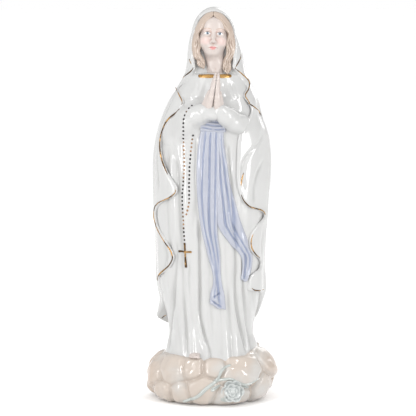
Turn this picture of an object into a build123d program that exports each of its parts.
"""Glazed porcelain figurine of a veiled, praying woman on a rock base, as its leather-hard castings.

Millimetres, +Z up. The origin is at the middle of the foot, on the surface it stands on. -Y is the front.
Left and right in node names are the figure's own, so right_... lies at -X.
"""

from math import cos, pi, sin
import os

from build123d import *

# ---- driving dimensions ---------------------------------------------------------------------
HEIGHT = 300.0  # foot to the top of the veil
WALL = 3.0  # slip-cast wall of the gown, the bodice and the head
BASE_WALL = 3.6
MANTLE_WALL = 2.6
VENT_R = 6.0  # firing vent under the base
NECK_BORE_R = 3.2  # drain hole between the hollows of the head and the bodice
HEM_Z = 36.0  # the gown stands on the rocks here
WAIST_Z = 212.0
COLLAR_Z = 247.0
GILDING = 0.35  # relief of a fired gold line
TRIM_WIDTH = 1.1
TRIM_INSET = 0.4
SASH_THICK = 1.6
BAND_Z = 206.0  # the waistband
BAND_HEIGHT = 8.6
BAND_HALF = 13.5
CROSS_RELIEF = 0.9
COLLAR_HEIGHT = 2.6
BEAD_R = 0.78
BEAD_PITCH = 2.95
FAR = 60.0  # reaches past the figure's front from the middle

# Horizontal sections: height, then reach to the left (-X), right (+X), front (-Y) and back (+Y).
ROCK = [
    (0.0, 41.0, 37.5, 31.2, 33.0),
    (2.5, 45.2, 41.5, 34.8, 36.8),
    (7.5, 48.9, 45.2, 37.0, 39.2),
    (14.0, 50.4, 47.0, 37.6, 40.0),
    (21.5, 49.8, 50.4, 37.2, 38.8),
    (27.5, 47.2, 47.8, 36.0, 37.0),
    (32.5, 42.6, 44.4, 33.0, 33.6),
    (HEM_Z, 37.6, 40.6, 31.2, 30.0),
]
ROCK_LOBES = 9
ROCK_LOBE_DEPTH = 0.028  # share of the reach
CAVITY = [
    (BASE_WALL, 38.0, 35.0, 29.0, 29.0),
    (7.5, 42.1, 38.7, 31.1, 33.1),
    (14.0, 43.5, 40.4, 31.6, 33.9),
    (21.5, 43.0, 43.5, 31.2, 32.7),
    (27.5, 40.5, 41.1, 30.1, 31.1),
    (HEM_Z + 1.0, 29.0, 28.4, 23.4, 21.4),
]
GOWN = [
    (HEM_Z, 35.2, 34.4, 29.6, 27.6),
    (41.0, 34.4, 33.6, 28.8, 26.4),
    (50.0, 32.4, 30.6, 27.2, 24.8),
    (62.0, 32.6, 31.0, 26.2, 24.6),
    (75.0, 34.8, 33.8, 26.0, 26.0),
    (88.0, 36.6, 35.6, 26.0, 27.2),
    (105.0, 38.0, 36.0, 26.2, 28.4),
    (125.0, 38.8, 37.0, 26.6, 28.8),
    (145.0, 40.0, 38.2, 26.8, 28.8),
    (168.0, 40.8, 40.0, 26.6, 28.8),
    (190.0, 40.4, 40.2, 25.8, 28.2),
    (WAIST_Z, 34.6, 35.0, 23.8, 26.4),
]
BODICE = [
    (WAIST_Z, 34.6, 35.0, 23.8, 26.4),
    (222.0, 30.6, 31.6, 23.4, 25.2),
    (231.0, 26.0, 28.6, 21.8, 23.4),
    (238.0, 20.6, 24.0, 18.6, 21.6),
    (243.5, 14.6, 18.6, 14.4, 18.6),
    (COLLAR_Z, 10.6, 14.2, 11.4, 14.6),
]
MANTLE = [
    (46.0, 38.6, 36.0, 30.0, 33.0),
    (60.0, 39.2, 36.6, 30.0, 32.8),
    (75.0, 39.4, 38.0, 30.2, 32.4),
    (88.0, 40.6, 39.6, 30.4, 32.4),
    (105.0, 41.4, 39.6, 30.4, 32.2),
    (125.0, 42.2, 40.4, 30.6, 32.2),
    (145.0, 43.6, 41.6, 30.6, 32.2),
    (168.0, 44.2, 43.4, 30.4, 32.2),
    (190.0, 43.8, 43.8, 29.4, 31.6),
    (205.0, 41.0, 41.4, 28.0, 30.6),
    (218.0, 36.6, 37.0, 26.6, 29.4),
    (230.0, 31.2, 33.4, 24.4, 27.8),
    (240.0, 25.2, 28.8, 20.4, 25.8),
    (250.0, 20.2, 24.4, 16.0, 23.8),
    (262.0, 18.4, 22.2, 14.6, 22.4),
    (274.0, 17.4, 19.7, 14.4, 21.6),
    (283.0, 15.7, 16.9, 14.0, 19.0),
    (290.0, 13.0, 13.9, 12.4, 15.4),
    (295.4, 9.0, 9.9, 9.4, 10.4),
    (298.6, 4.6, 5.6, 4.8, 5.2),
    (HEIGHT, 1.4, 2.4, 1.0, 1.6),
]
# The mantle's hem seen from the side, (y, z): high at the sides and low behind.
HEM = [(-1.0, 84.0), (6.0, 74.0), (14.0, 60.0), (26.0, 53.0), (36.0, 51.0)]

# Front edges of the mantle, as (x, z) seen from the front, from the chin down to the side hem.
EDGE_RIGHT = [
    (-15.6, 268.0),
    (-14.4, 259.0),
    (-13.4, 251.5),
    (-20.6, 245.0),
    (-26.2, 238.6),
    (-21.4, 229.0),
    (-24.4, 221.0),
    (-33.0, 213.0),
    (-38.4, 198.0),
    (-36.4, 184.0),
    (-29.4, 170.0),
    (-26.4, 162.4),
    (-31.4, 156.0),
    (-40.6, 149.4),
    (-43.4, 141.0),
    (-38.8, 128.6),
    (-30.6, 117.6),
    (-29.0, 110.0),
    (-34.0, 101.4),
    (-41.6, 92.6),
]
EDGE_LEFT = [
    (18.2, 268.0),
    (16.6, 259.0),
    (16.8, 251.6),
    (23.0, 246.4),
    (27.0, 239.6),
    (23.9, 232.4),
    (27.6, 226.8),
    (35.0, 221.4),
    (39.0, 212.0),
    (36.0, 199.0),
    (25.0, 185.0),
    (21.0, 172.0),
    (24.4, 158.6),
    (32.0, 150.6),
    (38.0, 143.6),
    (33.4, 133.0),
    (28.6, 124.0),
    (31.0, 113.6),
    (35.0, 105.0),
    (30.2, 97.4),
    (28.4, 86.0),
]
FACE_ARCH = [(-14.4, 279.0), (-9.2, 288.4), (1.2, 293.6), (11.2, 288.4), (16.8, 279.0)]

# Sash outlines, (x, z) from the front.
TAIL_CENTRE_LEFT = [(1.2, 206.0), (2.4, 165.0), (4.0, 130.0), (6.6, 108.0), (9.4, 86.0), (10.8, 72.0)]
TAIL_CENTRE_RIGHT = [(-9.6, 206.0), (-11.4, 178.0), (-10.0, 150.0), (-3.6, 112.0), (0.0, 90.0), (-2.0, 77.0)]
TAIL_SIDE_LEFT = [
    (7.6, 206.0),
    (9.0, 178.0),
    (13.0, 153.0),
    (23.0, 131.0),
    (30.8, 115.0),
    (30.2, 104.0),
    (27.2, 94.2),
]
TAIL_SIDE_RIGHT = [
    (1.8, 206.0),
    (3.6, 160.0),
    (6.4, 138.0),
    (13.6, 125.4),
    (20.6, 113.6),
    (22.4, 105.0),
    (21.0, 94.6),
]

# Rosary strings, (x, z) from the front, and the cross that ends the pendant.
OUTER_STRING = [
    (-14.8, 225.4),
    (-18.6, 221.6),
    (-21.0, 214.0),
    (-21.2, 200.0),
    (-20.6, 180.0),
    (-22.0, 158.0),
    (-21.2, 138.0),
    (-20.6, 125.0),
]
INNER_STRING = [(-14.2, 203.4), (-16.0, 188.0), (-16.9, 172.0), (-17.1, 154.0), (-19.0, 144.4)]
CROSS_TOP = (-20.6, 122.6)
CROSS_FOOT = (-19.6, 104.0)
CROSS_BAR_Z = 116.0
CROSS_BAR_HALF = 5.4
CROSS_WIDTH = 1.5

# Head, neck, hair, foot and hands. A "half" is an ellipsoid's three half axes.
HEAD_CENTRE = (0.8, -1.6, 278.6)
HEAD_HALF = (10.9, 13.4, 16.2)
NOSE_CENTRE = (0.8, -14.8, 275.4)
NOSE_HALF = (1.5, 2.0, 3.0)
CHIN_CENTRE = (1.0, -10.2, 266.2)
CHIN_HALF = (4.4, 3.6, 3.4)
NECK_R = 7.2
NECK_FOOT = (1.8, 0.8, COLLAR_Z)
NECK_HEIGHT = 22.0
NECK_TAPER = 4.0
# The locks on one side, from the parting to the collar: distance from the middle, y, z, radius.
LOCKS = [
    (1.6, -9.0, 292.6, 1.7),
    (6.6, -10.2, 289.0, 2.4),
    (10.9, -10.0, 281.4, 3.0),
    (12.6, -8.6, 271.4, 3.3),
    (11.4, -9.2, 262.4, 3.2),
    (9.6, -10.8, 254.6, 2.5),
    (10.2, -11.8, 249.0, 1.4),
]
TOES_CENTRE = (-11.2, -29.0, HEM_Z + 2.6)
TOES_HALF = (4.4, 6.4, 3.4)
SLEEVE_RIGHT = [
    ((-27.0, -13.0, 206.0), 9.4),
    ((-21.0, -18.0, 210.4), 9.8),
    ((-13.0, -23.4, 215.6), 8.8),
    ((-5.0, -27.8, 220.4), 6.6),
]
SLEEVE_LEFT = [
    ((28.0, -13.0, 204.0), 9.6),
    ((22.4, -18.0, 208.2), 10.2),
    ((15.0, -23.2, 213.4), 9.2),
    ((7.6, -27.8, 219.0), 6.8),
]
CUFF_RIGHT = (Vector(-17.0, -21.0, 211.0), Vector(-10.0, -23.0, 214.0), 6.4, 5.4)  # ends, then end radii
CUFF_LEFT = (Vector(17.4, -19.6, 203.6), Vector(11.0, -23.4, 212.4), 5.4, 6.4)
WRIST = Vector(1.8, -30.6, 222.0)
FINGERTIP = Vector(3.7, -33.8, 251.6)
# On the wrist's plane: x from the palm's face, y towards the wearer, z along the hand.
PALM = [(-6.0, 3.6, 3.8, 4.4), (4.0, 2.7, 3.2, 5.0), (14.8, 1.9, 2.1, 4.9)]  # z, x of the middle, half axes
FINGER_FOOT_Z = 14.2
FINGERS = [(-3.6, 0.84), (-1.3, 0.95), (1.1, 1.0), (3.4, 0.93)]  # y, share of the longest finger
FINGER_R = 1.45
TIP_R = 1.0
THUMB_FOOT = (2.6, 4.2, 5.0)
THUMB_TIP = (1.5, 5.6, 14.5)
THUMB_R = 1.6

# Rose sprig on the front of the rocks, (x, z) from the front.
MAIN_STEM = [(-21.0, 3.4), (-11.4, 8.0), (-4.4, 14.6), (3.6, 21.0), (7.6, 28.4), (14.6, 32.0)]
SIDE_STEM = [(-0.6, 17.6), (5.6, 20.6), (13.0, 21.6), (18.6, 19.2), (24.0, 16.6), (29.4, 17.2), (36.0, 20.6)]
STEM_R = 1.15
SIDE_STEM_R = 1.0
STEM_LIFT = 0.35  # share of the radius
BLOOM = (15.6, 12.4)
BLOOM_CORE_HALF = (3.2, 3.2, 2.8)
PETAL_HALF = (2.6, 2.9, 1.5)
PETAL_RINGS = [(5, 3.0, 0.6, 0.0), (6, 4.4, 0.1, 30.0)]  # petals, reach, height, turn in degrees
PETAL_TILT = 24.0
LEAF_WIDTH = 0.42  # share of the length
LEAF_THICK = 1.0
LEAVES = [((-1.0, 13.2), (7.0, 17.0)), ((20.0, 18.4), (28.0, 12.4)), ((6.6, 6.4), (13.0, 3.6))]


def oval(row, grow=0.0, count=20):
    """One horizontal section, from its reach each way, grown outward by grow."""
    z, left, right, front, back = row
    points = []
    for i in range(count):
        angle = 2 * pi * i / count
        reach_x = (right if cos(angle) >= 0 else left) + grow
        reach_y = (back if sin(angle) >= 0 else front) + grow
        points.append(Vector(reach_x * cos(angle), reach_y * sin(angle), z))
    return make_face(Spline(*points, periodic=True))


def body_of(rows, grow=0.0):
    """A solid through a list of sections, straight from each to the next."""
    return loft([oval(row, grow) for row in rows], ruled=True)


def shell_of(rows, wall):
    """An open-ended tube through the sections, with that wall inside them."""
    return body_of(rows) - body_of(rows, -wall)


def front_curve(points):
    """A smooth curve through (x, z) points on the XZ plane."""
    return Spline(*[Vector(x, 0, z) for x, z in points])


def front_lines(points):
    """Straight lines through (x, z) points on the XZ plane."""
    return Polyline(*[Vector(x, 0, z) for x, z in points])


def closed_between(one, two):
    """A flat face between two curves that run the same way."""
    return make_face([one, two, Line(one @ 0, two @ 0), Line(one @ 1, two @ 1)])


def ribbon(points, leftward, rightward, count=24):
    """A flat face along a curve, from leftward of it to rightward of it, seen along its run."""
    curve = front_curve(points)
    sides = []
    for distance in (leftward, -rightward):
        side = []
        for i in range(count + 1):
            at = curve @ (i / count)
            along = curve % (i / count)
            side.append((at.X - along.Z * distance, at.Z + along.X * distance))
        sides.append(front_curve(side))
    return closed_between(*sides)


def in_front(face):
    """A prism whose outline is seen from the front, from well in front of the figure to its middle."""
    return extrude(face, amount=FAR, dir=(0, -1, 0))


def biggest(shape):
    """The largest solid of a cut, without the crumbs beside it."""
    return max(shape.solids(), key=lambda solid: solid.volume)


def capsule(start, end, start_r, end_r):
    """A tapered round rod with ball ends, such as a finger."""
    axis = Plane(origin=start, z_dir=end - start)
    length = (end - start).length
    rod = loft([axis * Circle(start_r), axis.offset(length) * Circle(end_r)])
    return rod + Pos(*start) * Sphere(start_r) + Pos(*end) * Sphere(end_r)


def limb(stations):
    """A solid through round sections: (centre, radius) from end to end."""
    curve = Spline(*[Vector(*centre) for centre, _ in stations])
    faces = []
    for i, (centre, radius) in enumerate(stations):
        share = curve.param_at_point(Vector(*centre))
        faces.append(Plane(origin=Vector(*centre), z_dir=curve % share) * Circle(radius))
    return loft(faces)


def surface_point(solids, x, z):
    """The front-most point, and its outward normal, at (x, z) on any of the solids."""
    line = Axis((x, -FAR, z), (0, 1, 0))
    hits = []
    for solid in solids:
        for face in solid.faces():
            hits += face.find_intersection_points(line)
    point, normal = min(hits, key=lambda hit: hit[0].Y)
    return point, normal if normal.Y < 0 else -normal


# ---- the castings ---------------------------------------------------------------------------
def rock_base():
    """Hollow rocks: lobed outline, flat floor with the vent, and a rim that carries the gown."""
    count = ROCK_LOBES * 4
    faces = []
    for z, left, right, front, back in ROCK:
        depth = ROCK_LOBE_DEPTH * sin(pi * z / HEM_Z)
        points = []
        for i in range(count):
            angle = 2 * pi * i / count
            lump = 1 - depth * (1 - cos(ROCK_LOBES * angle + 0.09 * z))
            reach_x = (right if cos(angle) >= 0 else left) * lump
            reach_y = (back if sin(angle) >= 0 else front) * lump
            points.append(Vector(reach_x * cos(angle), reach_y * sin(angle), z))
        faces.append(make_face(Spline(*points, periodic=True)))
    return loft(faces) - body_of(CAVITY) - Cylinder(VENT_R, 4 * BASE_WALL)


def opening():
    """The space between the mantle's front edges: from the hem up both edges and round the face."""
    right = front_curve(FACE_ARCH[:3][::-1] + EDGE_RIGHT)
    left = front_curve(FACE_ARCH[2:] + EDGE_LEFT)
    hem_z = HEM[0][1]
    below = [EDGE_RIGHT[-1], (-FAR, hem_z), (-FAR, 0.0), (FAR, 0.0), (FAR, hem_z), EDGE_LEFT[-1]]
    return in_front(make_face([right, left, front_lines(below)]))


def below_hem():
    """What is taken off under the mantle's hem."""
    hem = Spline(*[Vector(0, y, z) for y, z in HEM])
    corners = [(FAR, HEM[-1][1]), (FAR, 0.0), (-FAR, 0.0), (-FAR, HEM[0][1])]
    edge = Polyline(hem @ 1, *[Vector(0, y, z) for y, z in corners], hem @ 0)
    return extrude(make_face([hem, edge]), amount=FAR, both=True, dir=(1, 0, 0))


def mantle(outside, front_opening):
    """The veil and cape: one shell, open down the front."""
    crown_z = HEIGHT - MANTLE_WALL
    inside = [row for row in MANTLE if row[0] < crown_z - 1.0]
    inside.append((crown_z, 5.2, 6.0, 4.6, 5.8))
    return biggest(outside - body_of(inside, -MANTLE_WALL) - front_opening - below_hem())


def gold_trim(points, side, outside):
    """A fired gold line along a stretch of the mantle's edge; side is -1 for the right edge."""
    far = TRIM_INSET + TRIM_WIDTH
    band = ribbon(points, far, -TRIM_INSET) if side < 0 else ribbon(points, -TRIM_INSET, far)
    return (body_of(MANTLE[:-4], GILDING) & in_front(band)) - outside


def neck_bore():
    """The drain hole between the head's hollow and the bodice's."""
    return Pos(*NECK_FOOT) * Cylinder(NECK_BORE_R, 2 * NECK_HEIGHT)


def egg(centre, half):
    """An ellipsoid."""
    return Pos(*centre) * scale(Sphere(1.0), by=half)


def head():
    """Hollow head and neck, with an undetailed face."""
    neck = Pos(*NECK_FOOT) * extrude(Circle(NECK_R), amount=NECK_HEIGHT, taper=NECK_TAPER)
    face = egg(NOSE_CENTRE, NOSE_HALF) + egg(CHIN_CENTRE, CHIN_HALF)
    hollow = egg(HEAD_CENTRE, tuple(half - WALL for half in HEAD_HALF))
    return egg(HEAD_CENTRE, HEAD_HALF) + neck + face - hollow - neck_bore()


def hair(side):
    """The locks on one side of the face, from the parting down to the collar; side is -1 or 1."""
    return limb([((HEAD_CENTRE[0] + side * out, y, z), radius) for out, y, z, radius in LOCKS])


def hand(side):
    """One praying hand, palm on the middle plane; side is -1 for the right hand and 1 for the left."""
    length = (FINGERTIP - WRIST).length
    shape = loft([Plane.XY.offset(z) * Pos(side * x, 0) * Ellipse(wide, deep) for z, x, wide, deep in PALM])
    for y, share in FINGERS:
        foot_end = Vector(side * FINGER_R * 1.2, y, FINGER_FOOT_Z)
        tip_end = Vector(side * TIP_R, y * 0.62, length * share - TIP_R)
        shape += capsule(foot_end, tip_end, FINGER_R, TIP_R)
    thumb_ends = [Vector(side * x, y, z) for x, y, z in (THUMB_FOOT, THUMB_TIP)]
    shape += capsule(*thumb_ends, THUMB_R, TIP_R)
    half = Box(FAR, FAR, 2 * FAR, align=(Align.MIN if side > 0 else Align.MAX, Align.CENTER, Align.CENTER))
    return Plane(origin=WRIST, x_dir=(1, 0, 0), z_dir=FINGERTIP - WRIST) * (shape & half)


def sleeve(side):
    """One wide sleeve, from inside the mantle to the wrist, with the cuff hanging under the forearm."""
    if side < 0:
        return limb(SLEEVE_RIGHT) + capsule(*CUFF_RIGHT)
    return limb(SLEEVE_LEFT) + capsule(*CUFF_LEFT)


def beads(string, under):
    """Domed enamel beads an even pitch apart along a string that lies on the figure."""
    curve = front_curve(string)
    count = round(curve.length / BEAD_PITCH)
    made = []
    for i in range(count + 1):
        at = curve @ (i / count)
        point, normal = surface_point(under, at.X, at.Z)
        made.append(Plane(origin=point, z_dir=normal) * Sphere(BEAD_R, arc_size1=0))
    return made


def stem(route, rock, radius):
    """A round stem that lies on the rocks along an (x, z) route."""
    points = []
    for x, z in route:
        point, normal = surface_point([rock], x, z)
        points.append(point + normal * radius * STEM_LIFT)
    path = Spline(*points)
    return sweep(Plane(origin=path @ 0, z_dir=path % 0) * Circle(radius), path=path)


def bloom(rock):
    """The rose: a core and two rings of petals, facing out from the rocks."""
    petal = scale(Sphere(1.0), by=PETAL_HALF)
    shape = scale(Sphere(1.0), by=BLOOM_CORE_HALF)
    for petals, reach, height, turn in PETAL_RINGS:
        for i in range(petals):
            place = Rot(0, 0, 360 / petals * i + turn) * Pos(reach, 0, height)
            shape += place * Rot(0, PETAL_TILT, 0) * petal
    point, normal = surface_point([rock], *BLOOM)
    return Plane(origin=point + normal * 0.6, z_dir=normal, x_dir=(1, 0, 0)) * shape


def leaf(rock, start, end):
    """A pointed leaf that lies on the rocks between two (x, z) points."""
    first, _ = surface_point([rock], *start)
    last, _ = surface_point([rock], *end)
    middle, normal = surface_point([rock], (start[0] + end[0]) / 2, (start[1] + end[1]) / 2)
    half = (last - first).length / 2
    blade = scale(Sphere(1.0), by=(half, half * LEAF_WIDTH, LEAF_THICK))
    return Plane(origin=middle, x_dir=last - first, z_dir=normal) * blade


def rosary_cross(gown_solid):
    """The cross at the end of the pendant, in low relief."""
    middle = (CROSS_TOP[0] + CROSS_FOOT[0]) / 2
    arms = [(middle - CROSS_BAR_HALF, CROSS_BAR_Z), (middle + CROSS_BAR_HALF, CROSS_BAR_Z)]
    half = CROSS_WIDTH / 2
    upright = in_front(ribbon([CROSS_TOP, CROSS_FOOT], half, half, 1))
    bar = in_front(ribbon(arms, half, half, 1))
    return (body_of(GOWN[4:9], CROSS_RELIEF) & (upright + bar)) - gown_solid


def sash(figure, front_opening, gown_solid, bodice_solid):
    """The waistband and its two tails, as cloth of one thickness on the gown."""
    cloth = body_of(GOWN[2:] + BODICE[1:3], SASH_THICK) - gown_solid - bodice_solid
    band = Pos(0, -FAR / 2, BAND_Z + BAND_HEIGHT / 2) * Box(2 * BAND_HALF, FAR, BAND_HEIGHT)
    sleeves = figure["sleeve_right"] + figure["sleeve_left"]
    figure["sash_band"] = biggest((cloth & band) - sleeves)
    tails = {
        "sash_tail_centre": (TAIL_CENTRE_LEFT, TAIL_CENTRE_RIGHT),
        "sash_tail_side": (TAIL_SIDE_LEFT, TAIL_SIDE_RIGHT),
    }
    for name, edges in tails.items():
        outline = closed_between(*[front_curve(edge) for edge in edges])
        figure[name] = biggest(cloth & in_front(outline) & front_opening)


def rose(figure, rocks):
    """The rose sprig in relief on the front of the rocks."""
    branch = biggest(stem(MAIN_STEM, rocks, STEM_R) - rocks)
    twig = biggest(stem(SIDE_STEM, rocks, SIDE_STEM_R) - rocks - branch)
    flower = biggest(bloom(rocks) - rocks - branch - twig)
    leaves = [biggest(leaf(rocks, *ends) - rocks - branch - twig - flower) for ends in LEAVES]
    figure["rose_stem"] = Compound([branch, twig])
    figure["rose_bloom"] = flower
    figure["rose_leaves"] = Compound(leaves)


def main():
    gown_solid = body_of(GOWN)
    bodice_solid = body_of(BODICE)
    mantle_solid = body_of(MANTLE)
    bodice_cavity = body_of([row for row in BODICE if row[0] < 240.0], -WALL)
    front_opening = opening()
    figure = {
        "rock_base": rock_base(),
        "gown_skirt": shell_of(GOWN, WALL),
        "gown_bodice": bodice_solid - bodice_cavity - neck_bore(),
        "mantle": mantle(mantle_solid, front_opening),
        "head": head(),
    }
    rocks = figure["rock_base"]
    skull = figure["head"]

    for name, side in (("right", -1), ("left", 1)):
        figure[f"hair_{name}"] = biggest(hair(side) - skull - figure["mantle"] - bodice_solid)
        figure[f"hand_{name}"] = biggest(hand(side) - gown_solid - bodice_solid)
    hands = figure["hand_right"] + figure["hand_left"]
    for name, side in (("right", -1), ("left", 1)):
        cloth = (sleeve(side) & front_opening) - gown_solid - bodice_solid
        figure[f"sleeve_{name}"] = biggest(cloth - hands)
    figure["sleeve_left"] = biggest(figure["sleeve_left"] - figure["sleeve_right"])
    figure["right_foot"] = biggest(egg(TOES_CENTRE, TOES_HALF) - gown_solid - rocks)

    sash(figure, front_opening, gown_solid, bodice_solid)
    under = [gown_solid, bodice_solid, figure["sleeve_right"]]
    figure["rosary_beads"] = Compound(beads(OUTER_STRING, under) + beads(INNER_STRING, under))
    figure["rosary_cross"] = rosary_cross(gown_solid)
    rose(figure, rocks)

    slab = Pos(0, 0, COLLAR_Z - COLLAR_HEIGHT / 2) * Box(FAR, FAR, COLLAR_HEIGHT)
    figure["gold_collar"] = (body_of(BODICE[-3:], GILDING) & slab) - bodice_solid - hands
    figure["gold_trim_right"] = gold_trim(EDGE_RIGHT[3:], -1, mantle_solid) - figure["sleeve_right"]
    figure["gold_trim_left"] = gold_trim(EDGE_LEFT[2:], 1, mantle_solid) - figure["sleeve_left"]

    os.makedirs("parts", exist_ok=True)
    for name, shape in figure.items():
        export_step(shape, f"parts/{name}.step")


if __name__ == "__main__":
    main()
